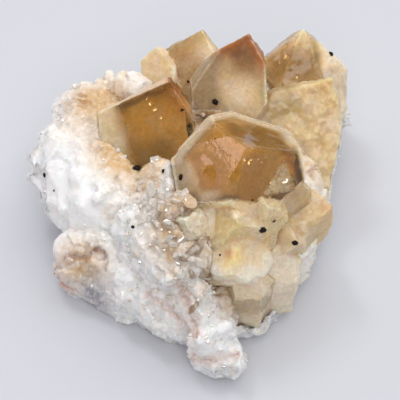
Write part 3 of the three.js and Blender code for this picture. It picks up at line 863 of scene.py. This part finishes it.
def addHull(bm, corners):
    # A closed convex piece around some corners, added to a mesh that holds others already.
    verts = [bm.verts.new(corner) for corner in corners]
    made = bmesh.ops.convex_hull(bm, input=verts)
    loose = [v for v in made["geom_interior"] if isinstance(v, bmesh.types.BMVert)]
    bmesh.ops.delete(bm, geom=loose, context="VERTS")


def glintFacing(spot, through=None):
    # The facing that mirrors the window to the eye, seen through a crystal face if one is given.
    ways = [(place - spot).normalized() for place in (eye, windowPlace)]
    if through is not None:
        bent = [(way - through * way.dot(through)) / quartzIor for way in ways]
        ways = [flat + through * math.sqrt(1 - flat.length_squared) for flat in bent]
    return (ways[0] + ways[1]).normalized()


def addCrack(bm, spot, normal, width, rng):
    across = normal.orthogonal().normalized()
    along = normal.cross(across)
    corners = []
    for i in range(7):
        angle = i * 0.9 + rng.uniform(-0.3, 0.3)
        reach = width / 2 * rng.uniform(0.45, 1.0)
        flat = across * math.cos(angle) * reach + along * math.sin(angle) * reach * 0.7
        corners += [spot + flat + normal * cracks["thick"] / 2, spot + flat - normal * cracks["thick"] / 2]
    addHull(bm, corners)


print("cracks")
rng = random.Random(cracks["seed"])
bm = bmesh.new()
for spot, normal, deep, width in spotsUnder(cracks["placed"], (crystalTree,)):
    facing = strayed(glintFacing(spot, normal), cracks["wobble"], rng)
    addCrack(bm, spot - normal * deep * 0.5, facing, width * 1.3, rng)
choice = cracks["strayFrom"]
offRock = [solidRockTree.find_nearest(Vector(p), choice["offRock"])[0] is None for p in crystalPoints]
golden = (crystalMarked["amber"] > choice["amber"]) & (worn < choice["worn"])
clearPoints = np.nonzero(golden & np.array(offRock))[0].tolist()
for i in rng.sample(clearPoints, cracks["stray"]):
    normal = Vector(crystalFacing[i])
    inward = -normal * rng.uniform(*cracks["strayDepth"])
    facing = strayed(normal, cracks["strayWobble"], rng)
    addCrack(bm, Vector(crystalShape[i]) + inward, facing, rng.uniform(*cracks["strayWidth"]), rng)
addPiece("glinting_cracks", meshFrom(bm, "cracks"), crackMaterial(), 30)


# The rock.
rockSkin = {
    "voxel": 0.6, "soften": 5,  # mesh size, and rounds of smoothing before the facets are cut
    "grow": 0.45,  # how far the skin stands proud of the solid, so that it meets the crystals
    "bank": 0.6,  # how much more it rises where it meets them
    "warmReach": 5.0,  # how far the gold of the crystals shows in it
    "ledge": 9.0, "ledgeTilt": 0.24, "facet": 2.6, "facetTilt": 0.34, "grain": 0.9, "grainHeight": 0.08,
    "splinter": 4.2, "splinterTilt": 0.6,  # larger facets of the glassy rock
    # stain marks, painted shade and kinds of surface: pixels across and down, radius in mm, strength
    "stainsAndShade": {
        # The tan at (228, 302) and the dark at (226, 302) are painted shade in the hollow under the smoky
        # crystals.
        "tan": ((82, 264, 7, 0.9), (92, 112, 10, 0.4), (95, 108, 8, 0.45), (108, 165, 5, 0.3),
            (150, 182, 6, 0.25), (172, 200, 6, 0.6), (185, 225, 7, 0.7), (228, 302, 6, 1),
            (262, 300, 6, 0.4), (300, 262, 6, 0.3), (330, 120, 8, 0.3), (202, 112, 7, 1),
            (228, 108, 6, 0.9), (318, 165, 6, 0.35), (180, 232, 9, 0.8)),
        # The dark at (198, 114), (188, 104) and (226, 108) darkens the rock in the gap between the crystals
        # at the back.
        "dark": ((84, 262, 6, 0.15), (90, 110, 9, 0.12), (178, 226, 3, 0.5), (196, 244, 3, 0.4),
            (198, 114, 5.5, 1.2), (188, 104, 4, 0.9), (226, 108, 6, 0.4), (226, 302, 3.5, 0.15)),
        "white": ((125, 82, 9, 0.3), (60, 170, 16, 1), (85, 225, 13, 0.9)),
        "warm": ((125, 82, 9, 0.15), (105, 105, 6, 0.9), (100, 125, 6, 0.9), (110, 148, 6, 0.8),
            (92, 104, 5, 0.6), (118, 165, 4, 0.5), (185, 200, 6, 0.6), (305, 170, 6, 0.45)),
        "red": ((71, 257, 1.2, 0.35), (102, 253, 1.2, 0.3)),
        "pink": ((62, 283, 4, 0.7), (56, 268, 3, 0.5), (155, 308, 8, 0.1), (197, 358, 2, 0.4),
            (212, 361, 2.2, 0.4), (236, 352, 2, 0.4)),
        "grey": ((98, 299, 4.5, 0.9), (90, 292, 3, 0.5), (187, 242, 3, 0.5), (172, 218, 2.5, 0.5)),
        "glass": ((185, 232, 8, 1), (150, 205, 8, 0.6), (180, 275, 6, 0.5)),
    },
    # places where the skin lies deeper than the solid: pixels across and down, radius and depth in mm
    "pulls": (
        (66, 234, 6, -1), (60, 250, 5, -0.5), (217, 378, 4, 1.6), (262, 330, 6, 2.5), (205, 110, 6, 2.5),
        (228, 108, 6, 2), (222, 297, 5, -2.2), (350, 116, 6, 4), (27, 172, 4, 0.8), (103, 126, 3.5, -1.2),
        (109, 145, 3.5, -1.3), (121, 160, 3.5, -1.1), (97, 112, 3, -0.9), (28, 165, 8, 3),
        (34, 195, 8, 2.4), (30, 140, 6, 1.6), (103, 135, 5, 1)),
    # crevices: width and depth in mm, stain and its strength, then the line in pixels
    "crevices": (
        (0.6, 0.6, "red", 0.5, ((64, 259), (68, 256), (76, 256), (82, 258), (88, 256), (96, 250))),
        (0.6, 0.6, "red", 0.45, ((97, 249), (103, 252), (106, 262), (104, 272))),
        (0.7, 0.5, "pink", 0.5, ((55, 266), (58, 280), (66, 288), (76, 292))),
        (1.0, 0.7, "pink", 0.45, ((148, 296), (160, 302), (172, 312), (182, 324), (190, 336))),
        (1.0, 0.8, "pink", 0.7, ((183, 288), (188, 300), (191, 318), (196, 334))),
        (0.8, 0.45, "pink", 0.3, ((194, 356), (206, 361), (222, 360), (240, 353))),
        (1.0, 0.6, "tan", 0.5, ((165, 222), (170, 245), (168, 262), (176, 285))),
        (0.8, 0.4, "tan", 0.3, ((104, 214), (112, 206), (120, 209), (118, 218), (109, 219), (106, 212))),
        (0.9, 0.5, "tan", 0.4, ((206, 208), (204, 232), (212, 250), (206, 276), (200, 296))))}
rockSigns = ("warm", "tan", "dark", "red", "grey", "pink", "glass", "white")


def quartzMaterial():
    # Massive quartz, broken: white and sugary, translucent at thin edges, with small glassy facets.
    material, tree, place = newMaterial("Massive quartz, broken")
    sign = {k: addNode(tree, "Attribute", {"attribute_name": k}).outputs["Fac"] for k in rockSigns}
    stainsAndShade = {"warm": "#E0B97E", "tan": "#D8B78C", "dark": "#8A6A45", "pink": "#D6B3A3", "grey": "#A3A1A8",
              "red": "#8E5640"}
    cloud = addNode(tree, "TexNoise", {"grain": 7, "Detail": 6.0, "Distortion": 0.5}, {"Vector": place})
    fine = addNode(tree, "TexNoise", {"grain": 1.4, "Detail": 3.0}, {"Vector": place})
    patch = addNode(tree, "MapRange", {"From Min": 0.35, "From Max": 0.65}, {0: cloud})
    colour = addNode(tree, "Mix", {"data_type": "RGBA", 6: "#F7F2EF", 7: "#FFFDFC"}, {0: patch})
    colour = addNode(tree, "Mix", {"data_type": "RGBA", 7: "#FBFAF9"}, {0: sign["white"], 6: colour})
    uneven = addNode(tree, "MapRange", {"From Min": 0.3, "From Max": 0.6, "To Min": 0.5, "To Max": 1.15},
                     {0: fine})
    for kind, tone in stainsAndShade.items():
        share = addNode(tree, "Math", {"operation": "MULTIPLY", "use_clamp": True},
                        {0: uneven, 1: sign[kind]})
        colour = addNode(tree, "Mix", {"data_type": "RGBA", 7: tone}, {0: share, 6: colour})
    coarse, cells = facetHeight(tree, place, 1.8, 0.8)
    small, _ = facetHeight(tree, place, 0.8, 0.45)
    height = addNode(tree, "Math", {"operation": "ADD"}, {0: coarse, 1: small})
    sugar = addNode(tree, "Math", {"operation": "MULTIPLY_ADD", "use_clamp": True, 1: -0.6, 2: 1.0},
                    {0: sign["white"]})
    height = addNode(tree, "Math", {"operation": "MULTIPLY"}, {0: height, 1: sugar})
    bump = addNode(tree, "Bump", {"Strength": 1.0, "Distance": 1.0}, {"Height": height})
    sparkle, _ = facetHeight(tree, place, 1.1, 1.6)
    glassy = addNode(tree, "Bump", {"Strength": 1.0, "Distance": 1.0}, {"Height": sparkle})
    shiny = addNode(tree, "SeparateColor", {}, {0: cells.outputs["Color"]})
    rough = addNode(tree, "MapRange", {"From Min": 0.1, "From Max": 0.6, "To Min": 0.2, "To Max": 0.55},
                    {0: shiny.outputs["Blue"]})
    clear = addNode(tree, "Math", {"operation": "MULTIPLY", "use_clamp": True},
                    {0: sign["glass"], 1: shiny.outputs["Green"]})
    clear = addNode(tree, "Math", {"operation": "MULTIPLY", 1: 0.7}, {0: clear})
    shader = addNode(tree, "BsdfPrincipled", {
        "IOR": quartzIor, "Subsurface Weight": 0.75, "Subsurface Radius": (0.0022, 0.0018, 0.0015),
        "Subsurface Scale": 1.0, "Coat Weight": 0.45, "Coat IOR": 1.54, "Coat Roughness": 0.08},
        {"Base Color": colour, "Roughness": rough, "Normal": bump, "Coat Normal": glassy,
         "Transmission Weight": clear})
    addNode(tree, "OutputMaterial", {}, {"Surface": shader})
    return material


def lineTree(line):
    # The stone under a line of pixels, as a tree of places close together.
    shares = [step / 12 for step in range(12)]
    steps = [[a + (b - a) * share for a, b in zip(start, end)]
             for start, end in zip(line, line[1:]) for share in shares]
    spots = [spot for spot, _ in spotsUnder(steps, (solidRockTree,))]
    found = KDTree(len(spots))
    for i, spot in enumerate(spots):
        found.insert(spot, i)
    found.balance()
    return found


def carve(stainedAndShaded, points):
    # How deep the crevices go at each point. They stain the rock on either side.
    depths = np.zeros(len(points))
    for width, depth, sign, strength, line in rockSkin["crevices"]:
        found = lineTree(line)
        apart = np.array([found.find(Vector(p))[2] for p in points])
        apart = apart * (1 + 0.4 * noiseAt(points, 1.2, 12, 1)) if apart.min() < width else apart
        depths = np.maximum(depths, depth * np.exp(-(apart / width) ** 2))
        stainedAndShaded[sign] += strength * np.exp(-(apart / width / 1.3) ** 2)
    return depths


def rockMesh():
    holder = bpy.data.objects.new("rock", solidRock)
    scene.collection.objects.link(holder)
    weld = holder.modifiers.new("weld", "WELD")
    weld.merge_threshold = 0.001
    remesh = holder.modifiers.new("remesh", "REMESH")
    remesh.mode = "VOXEL"
    remesh.voxel_size = rockSkin["voxel"]
    skin = evaluated(holder, "rock")
    bpy.data.objects.remove(holder)
    return skin


def rockStainsAndShade(points, nearby):
    # The stain marks and painted shade, and the gold that the crystals lend to the rock beside them.
    stainedAndShaded = {k: np.zeros(len(points)) for k in rockSigns}
    tint(stainedAndShaded, rockSkin["stainsAndShade"], (solidRockTree,), points)
    fading = np.exp(-np.clip(nearby["depth"], 0, None) / rockSkin["warmReach"])
    warmth = nearby["amber"] * (1 - 0.6 * nearby["milk"]) * fading
    stainedAndShaded["warm"] = np.clip(stainedAndShaded["warm"] + 1.1 * warmth, 0, 1)
    return stainedAndShaded


def rockRelief(points, stainedAndShaded, near):
    # Ledges, broken facets, sugar and crevices, larger facets in the glassy rock, a bank at the crystals.
    skin, glass = rockSkin, np.clip(stainedAndShaded["glass"], 0, 1)
    broken = (1 - 0.65 * np.clip(stainedAndShaded["white"], 0, 1)) * (1 - 0.7 * stainedAndShaded["warm"])
    relief = (cellRelief(points, skin["ledge"], skin["ledgeTilt"], 1)
              + cellRelief(points, skin["facet"], skin["facetTilt"], 2) * broken
              + skin["grainHeight"] * noiseAt(points, skin["grain"], 3)
              + cellRelief(points, skin["splinter"], skin["splinterTilt"], 8) * glass)
    carved = carve(stainedAndShaded, points)
    bank = skin["bank"] * smoothStep(0.4, 1.0, near) * (1 - smoothStep(1.0, 3.5, near))
    relief = skin["grow"] * (1 - smoothStep(0.8, 3.0, near)) + relief * smoothStep(0.2, 1.0, near) + bank
    for spot, _, radius, depth in spotsUnder(skin["pulls"], (solidRockTree,)):
        relief -= depth * nearness(points, spot, radius)
    return relief - carved


print("rock")
rock = rockMesh()
rockPoints = vectorsOf(rock)
nearby = crystalField(rockPoints)
rockPoints = smoothed(rock, rockPoints, 0.5 * smoothStep(0.4, 1.2, nearby["depth"]), rockSkin["soften"])
movePoints(rock, rockPoints)
rockFacing = vectorsOf(rock, "normal")
stainedAndShaded = rockStainsAndShade(rockPoints, nearby)
rockPoints = insideBox(rockPoints + rockFacing * rockRelief(rockPoints, stainedAndShaded, nearby["depth"])[:, None])
movePoints(rock, rockPoints)
setAttributes(rock, stainedAndShaded)
rockTree = treeOf(rock)
quartz = addPiece("quartz_rock", rock, quartzMaterial(), 28)
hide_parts("quartz_matrix")


# Small glassy quartz grown and broken over the rock.
quartzPoints = {
    # how many shards, how long in mm and how far sunk, where they stand
    "shards": ({"count": 70, "long": (2.0, 4.5), "sunk": 0.72, "sign": "glass", "seed": 21},
               {"count": 50, "long": (1.6, 3.5), "sunk": 0.7, "sign": "contact", "seed": 23}),
    "wobble": 0.4,
    "offCrystals": 0.8, "contact": (0.3, 1.6),  # mm off the crystals
    "contactAbove": 3, "contactLeftOf": 320,  # mm above the floor, and pixels across
    "brokenLeftOf": 250, "brokenFacing": 0.2, "brokenShare": 0.25,  # the broken side sparkles too
    # flat glassy facets that catch the window: pixels across and down, and width in mm
    "facetSeed": 31,
    "facets": (
        (181, 240, 2.6), (178, 262, 2), (196, 236, 1.2), (203, 228, 1.4), (188, 222, 1.2), (170, 232, 1.1),
        (195, 318, 1.6), (190, 335, 1.1), (199, 300, 1.3), (212, 310, 1), (195, 282, 1.1), (160, 205, 1),
        (140, 195, 1), (120, 212, 0.9), (150, 215, 0.9), (128, 198, 0.9), (165, 250, 1), (150, 245, 0.8),
        (105, 240, 0.8), (85, 225, 0.7), (186, 200, 1), (176, 195, 1), (168, 190, 1.1), (205, 338, 1.2),
        (222, 345, 1), (98, 130, 0.8), (92, 150, 0.8), (104, 160, 0.8)),
    # tiny facets turned to the window
    "sparkles": {"count": 300, "width": (0.3, 1.5), "wobble": 0.06, "seed": 41}}


def shardMaterial():
    # Small quartz points and splinters: clear to milky, glassy, catching the light.
    material, tree, place = newMaterial("Small quartz points")
    cloud = addNode(tree, "TexNoise", {"grain": 4, "Detail": 3.0}, {"Vector": place})
    colour = addNode(tree, "Mix", {"data_type": "RGBA", 6: "#EBDCC9", 7: "#F7F4F1"}, {0: cloud})
    clear = addNode(tree, "MapRange", {"From Min": 0.35, "From Max": 0.65, "To Min": 0.08, "To Max": 0.5},
                    {0: cloud})
    shader = addNode(tree, "BsdfPrincipled", {"IOR": quartzIor, "Roughness": 0.12},
                     {"Base Color": colour, "Transmission Weight": clear})
    addNode(tree, "OutputMaterial", {}, {"Surface": shader})
    return material


def addShard(bm, spot, facing, long, rng):
    # A bent six-sided splinter with an uneven point.
    turn = facing.to_track_quat("Z", "Y").to_matrix() @ Matrix.Rotation(rng.uniform(0, 6.3), 3, "Z")
    turn = turn @ Matrix.Diagonal((1, rng.uniform(0.35, 0.8), 1))
    wide = long * rng.uniform(0.35, 0.6)
    corners = []
    for k in range(6):
        angle = k * math.pi / 3 + rng.uniform(-0.15, 0.15)
        reach = wide * rng.uniform(0.7, 1.0)
        shoulder = long * rng.uniform(0.1, 0.35)
        for height, share in ((-0.5 * long, 0.8), (shoulder, 1.0)):
            corners.append(Vector((math.cos(angle) * reach * share, math.sin(angle) * reach * share, height)))
    corners.append(Vector((rng.uniform(-0.2, 0.2) * wide, rng.uniform(-0.2, 0.2) * wide, 0.5 * long)))
    addHull(bm, [spot + turn @ corner for corner in corners])


def addPlate(bm, spot, facing, width, rng):
    across = Matrix.Rotation(rng.uniform(0, 3.1), 3, facing) @ facing.orthogonal().normalized()
    narrow = rng.uniform(0.3, 0.8)
    along = facing.cross(across)
    corners = []
    for i in range(6):
        angle = i * math.pi / 3 + rng.uniform(-0.35, 0.35)
        reach = width / 2 * rng.uniform(0.6, 1.0)
        flat = across * math.cos(angle) * reach + along * math.sin(angle) * reach * narrow
        corners += [spot + flat + facing * 0.25, spot + flat * 1.25 - facing * width * 0.4]
    addHull(bm, corners)


print("shards")
# Where each kind stands: in the glassy rock, where rock and crystals meet, and over the broken side.
near = crystalField(rockPoints)["depth"]
column = pixelsOf(rockPoints)[:, 0]
closest, farthest = quartzPoints["contact"]
isClear = near > quartzPoints["offCrystals"]
isLeft = column < quartzPoints["brokenLeftOf"]
isBroken = (rockFacing[:, 1] < quartzPoints["brokenFacing"]) * isLeft
glassy = stainedAndShaded["glass"] + quartzPoints["brokenShare"] * isBroken
onContact = (near > closest) * (near < farthest) * (rockPoints[:, 2] > quartzPoints["contactAbove"])
weights = {
    "glass": stainedAndShaded["glass"] * isClear,
    "contact": onContact * (column < quartzPoints["contactLeftOf"]),
    "sparkle": np.clip(glassy, 0, 1) * isClear * (1 - np.clip(stainedAndShaded["white"], 0, 0.95))}


def picked(sign, count, rng):
    # Some points of the rock, by chance and weighted, with their facings.
    for i in rng.choices(range(len(rockPoints)), weights=weights[sign].tolist(), k=count):
        yield Vector(rockPoints[i]), Vector(rockFacing[i])


bm = bmesh.new()
for group in quartzPoints["shards"]:
    rng = random.Random(group["seed"])
    for spot, normal in picked(group["sign"], group["count"], rng):
        facing = strayed(normal, quartzPoints["wobble"], rng)
        long = rng.uniform(*group["long"])
        addShard(bm, spot + normal * long * (0.5 - group["sunk"]), facing, long, rng)
rng = random.Random(quartzPoints["facetSeed"])
for spot, _, width in spotsUnder(quartzPoints["facets"], (rockTree,)):
    addPlate(bm, spot, glintFacing(spot), width, rng)
sparkles = quartzPoints["sparkles"]
rng = random.Random(sparkles["seed"])
for spot, _ in picked("sparkle", sparkles["count"], rng):
    facing = strayed(glintFacing(spot), sparkles["wobble"], rng)
    addPlate(bm, spot, facing, rng.uniform(*sparkles["width"]), rng)
shardMesh = meshFrom(bm, "shards")
movePoints(shardMesh, insideBox(vectorsOf(shardMesh)))
addPiece("small_quartz_points", shardMesh, shardMaterial(), 20)


# Smoky glassy splinters of the broken side.
splinters = {
    "seed": 43, "wobble": 0.35, "sunk": 0.3,
    # pixels across and down, and length in mm
    "placed": (
        (178, 222, 9), (190, 240, 10), (172, 242, 8), (201, 252, 9), (184, 260, 8), (166, 226, 7),
        (207, 270, 7), (182, 206, 8), (198, 218, 9), (158, 212, 6), (192, 276, 6), (196, 304, 6))}


def splinterMaterial():
    # Smoky quartz splinters: clear and brownish, with mirror-like fracture faces.
    material, tree, place = newMaterial("Smoky quartz splinters")
    cloud = addNode(tree, "TexNoise", {"grain": 2.5, "Detail": 4.0}, {"Vector": place})
    shade = addNode(tree, "MapRange", {"From Min": 0.35, "From Max": 0.65}, {0: cloud})
    colour = addNode(tree, "Mix", {"data_type": "RGBA", 6: "#C4A57E", 7: "#F2E8DA"}, {0: shade})
    clear = addNode(tree, "MapRange", {"From Min": 0.35, "From Max": 0.65, "To Min": 0.85, "To Max": 0.3},
                    {0: cloud})
    facets, _ = facetHeight(tree, place, 1.8, 0.7)
    bump = addNode(tree, "Bump", {"Strength": 1.0, "Distance": 1.0}, {"Height": facets})
    shader = addNode(tree, "BsdfPrincipled", {"IOR": quartzIor, "Roughness": 0.06},
                     {"Base Color": colour, "Transmission Weight": clear, "Normal": bump})
    addNode(tree, "OutputMaterial", {}, {"Surface": shader})
    return material


print("splinters")
rng = random.Random(splinters["seed"])
bm = bmesh.new()
for spot, normal, long in spotsUnder(splinters["placed"], (rockTree,)):
    facing = strayed(normal, splinters["wobble"], rng)
    addShard(bm, spot - normal * long * splinters["sunk"], facing, long, rng)
addPiece("smoky_splinters", meshFrom(bm, "splinters"), splinterMaterial(), 15)


# Iron oxide specks.
specks = {
    "seed": 5, "shape": (1.4, 1.1, 0.9), "uneven": 0.35,
    # pixels across and down, and length in mm
    "placed": (
        (137, 168, 1.7), (163.5, 171, 1), (181, 177, 1.3), (215, 102, 1.5), (331, 54, 1.2),
        (262.5, 230, 1.5), (295, 243, 1.2), (133, 227, 0.8), (44.6, 175, 1), (54, 190.6, 0.5),
        (188, 81.6, 0.6), (182, 110, 0.7), (189, 126, 0.7), (220, 255, 0.5), (252.5, 200, 0.5),
        (274, 221, 0.7), (61, 118, 0.4), (41, 134, 0.4))}


def ironMaterial():
    # Iron oxide specks grown on the quartz: black brown, dull, with a little gloss.
    material, tree, place = newMaterial("Iron oxide, black brown")
    grain = addNode(tree, "TexNoise", {"grain": 0.4, "Detail": 2.0}, {"Vector": place})
    colour = addNode(tree, "Mix", {"data_type": "RGBA", 6: "#080605", 7: "#24150D"}, {0: grain})
    shader = addNode(tree, "BsdfPrincipled", {"Roughness": 0.6, "Specular IOR Level": 0.2},
                     {"Base Color": colour})
    addNode(tree, "OutputMaterial", {}, {"Surface": shader})
    return material


print("specks")
rng = random.Random(specks["seed"])
bm = bmesh.new()
for across, down, length in specks["placed"]:
    spot, normal = surfaceAt(across, down, (crystalTree, rockTree))
    if spot is None:
        continue
    lump = bmesh.ops.create_icosphere(bm, subdivisions=2, radius=length / 2)["verts"]
    turn = Matrix.Rotation(rng.uniform(0, 6.3), 3, "Z")
    seat = normal.to_track_quat("Z", "Y").to_matrix() @ turn
    for vert in lump:
        bumpy = noise.noise(vert.co / length * 3 + Vector((across, down, 0)))
        reach = vert.co * (1 + specks["uneven"] * bumpy)
        vert.co = spot + seat @ Vector([r * s for r, s in zip(reach, specks["shape"])])
addPiece("iron_oxide_specks", meshFrom(bm, "specks"), ironMaterial(), 40)


# The stage: a white room over a sheet of paper, and four lamps.
stage = {
    "half": 3.0,  # half the floor's width, m
    "room": "#F3F4F8",
    # place and aim in metres, width in metres, watts, colour
    "lamps": {
        "overhead": ((0.3, 0.42, 0.75), (0, 0, 0), 0.8, 2.6, "#FFFBF4"),
        "window": (windowPlace * mm, (0, 0, 0), 0.15, 1.0, "#FFFFFF"),
        "leftPanel": (panelPlace * mm, (0.015, -0.01, 0.05), 0.17, 0.31, "#FFE2D8"),
        "front": ((0.05, -0.56, 0.62), (0, 0, 0), 0.5, 2.25, "#FFFDFA")}}


def paperMaterial():
    # Plain matt paper, with a faint mottle about 1.1 mm across.
    material, tree, place = newMaterial("Paper, matt")
    grain = addNode(tree, "TexNoise", {"Scale": 900.0, "Detail": 2.0}, {"Vector": place})
    colour = addNode(tree, "Mix", {"data_type": "RGBA", 6: "#C8CAD0", 7: "#CACCD2"}, {0: grain})
    shader = addNode(tree, "BsdfPrincipled", {"Roughness": 0.9}, {"Base Color": colour})
    addNode(tree, "OutputMaterial", {}, {"Surface": shader})
    return material


def addSoftbox(name, place, aim, size, power, colour):
    lamp = bpy.data.lights.new(name, "AREA")
    lamp.shape, lamp.size = "SQUARE", size
    lamp.energy, lamp.color = power, toLinear(colour)[:3]
    holder = bpy.data.objects.new(name, lamp)
    scene.collection.objects.link(holder)
    holder.location = place
    holder.rotation_euler = (Vector(aim) - Vector(place)).to_track_quat("-Z", "Y").to_euler()


def addFloor():
    half = stage["half"]
    corners = [(-half, -half, 0), (half, -half, 0), (half, half, 0), (-half, half, 0)]
    mesh = bpy.data.meshes.new("floor")
    mesh.from_pydata(corners, [], [(0, 1, 2, 3)])
    mesh.materials.append(paperMaterial())
    floor = bpy.data.objects.new("floor", mesh)
    scene.collection.objects.link(floor)


def addRoom():
    # Brightest overhead and a little to the back, dim below.
    world = bpy.data.worlds.new("room")
    scene.world = world
    world.use_nodes = True
    tree = world.node_tree
    tree.nodes.clear()
    way = addNode(tree, "TexCoord").outputs["Generated"]
    height = addNode(tree, "VectorMath", {"operation": "DOT_PRODUCT", 1: (0.08, 0.28, 0.95)}, {0: way})
    bright = addNode(tree, "MapRange", {"From Min": 0.1, "From Max": 0.85, "To Min": 0.16, "To Max": 0.95},
                     {0: height})
    sky = addNode(tree, "Background", {"Color": stage["room"]}, {"Strength": bright})
    addNode(tree, "OutputWorld", {}, {"Surface": sky})


print("stage")
addFloor()
addRoom()
for name, values in stage["lamps"].items():
    addSoftbox(name, *values)

scene.view_settings.view_transform = "Standard"
lens = bpy.data.cameras.new("camera")
lens.lens = view["lens"]
lens.clip_start, lens.clip_end = 0.01, 10
camera = bpy.data.objects.new("camera", lens)
scene.collection.objects.link(camera)
camera.location = eye * mm
camera.rotation_euler = ahead.to_track_quat("-Z", "Y").to_euler()
scene.camera = camera
